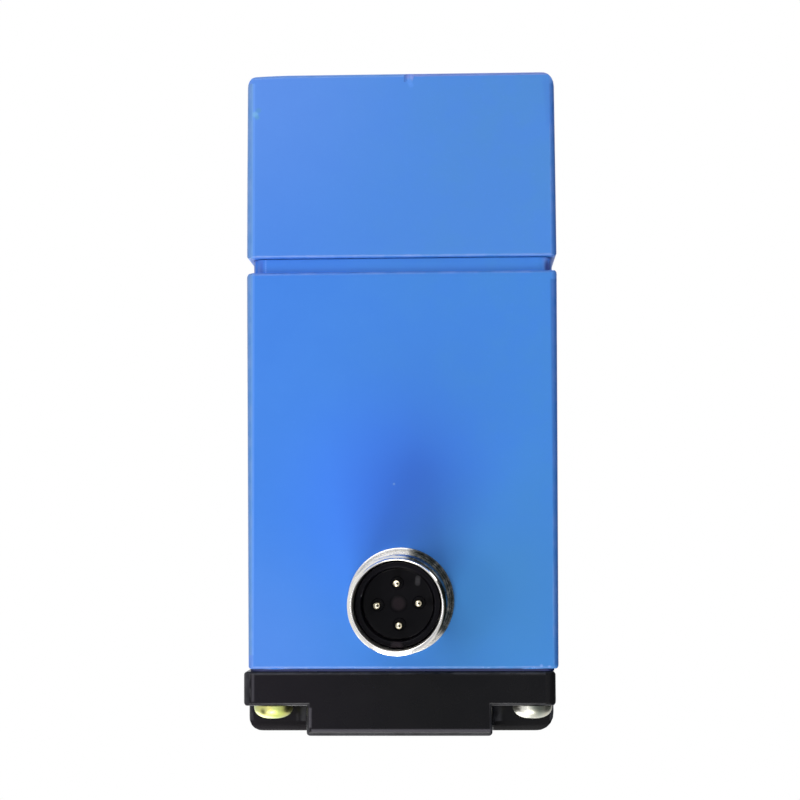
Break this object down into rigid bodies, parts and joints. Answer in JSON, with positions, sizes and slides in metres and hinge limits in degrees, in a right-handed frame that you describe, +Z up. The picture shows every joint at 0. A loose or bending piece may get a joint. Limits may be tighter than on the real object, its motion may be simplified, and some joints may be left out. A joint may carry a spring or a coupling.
{
  "type": "diffuse photoelectric sensor",
  "caption": "Tall block-shaped optical sensor with a glass lens window in a black frame, a blue cast housing with cross bores, a deep rear cover behind a groove and a round plug below.",
  "frame": {"origin": "on the axis of the lower mounting bore, at mid-width of the housing", "axes": "+Z up, away from the plug; the optics look towards -Y; +X across the width, along the mounting bores"},
  "size_m": [0.0403, 0.0851, 0.119],
  "materials": {
    "blue_paint": "semi-matt enamel on a casting",
    "black_frame": "semi-gloss moulded plastic",
    "window_glass": "polished",
    "lens_glass": "polished",
    "seal_rubber": "matt",
    "bright_steel": "bright zinc plated",
    "yellow_zinc": "yellow passivated zinc plate",
    "nickel_plate": "nickel plated, turned",
    "insert_plastic": "semi-gloss moulded plastic",
    "gold_plate": "gold plated",
    "lead_insulation": "extruded insulation",
    "carrier_plastic": "matt moulded plastic",
    "circuit_board": "solder resist on glass fibre laminate",
    "chip_plastic": "moulded resin",
    "tape_film": "amber film",
    "tin_plate": "tin plated sheet",
    "capacitor_sleeve": "shrunk sleeve",
    "indicator_plastic": "clear moulded plastic",
    "led_resin": "cast resin"
  },
  "bodies": {
    "root": {"main_housing": "blue_paint", "rear_cover": "blue_paint", "lens_frame": "black_frame", "front_window": "window_glass", "sender_lens": "lens_glass", "receiver_lens": "lens_glass", "rear_cover_seal": "seal_rubber", "window_seal": "seal_rubber", "lens_frame_seal": "seal_rubber", "connector_o_ring": "seal_rubber", "light_barrier": "seal_rubber", "indicator_seal": "seal_rubber", "rear_cover_screws": "bright_steel", "carrier_screws": "bright_steel", "optics_board_screws": "bright_steel", "main_board_screws": "bright_steel", "sender_diode": "bright_steel", "lens_frame_screws": "yellow_zinc", "connector_sleeve": "nickel_plate", "connector_nut": "nickel_plate", "connector_insert": "insert_plastic", "contact_pins": "gold_plate", "connector_leads": "lead_insulation", "optics_carrier": "carrier_plastic", "optics_board": "circuit_board", "main_board": "circuit_board", "receiver_diode": "chip_plastic", "processor_chip": "chip_plastic", "voltage_regulator": "chip_plastic", "link_sockets": "chip_plastic", "link_tape": "tape_film", "receiver_shield": "tin_plate", "storage_capacitors": "capacitor_sleeve", "indicator_lens": "indicator_plastic", "status_leds": "led_resin"}
  },
  "joints": []
}
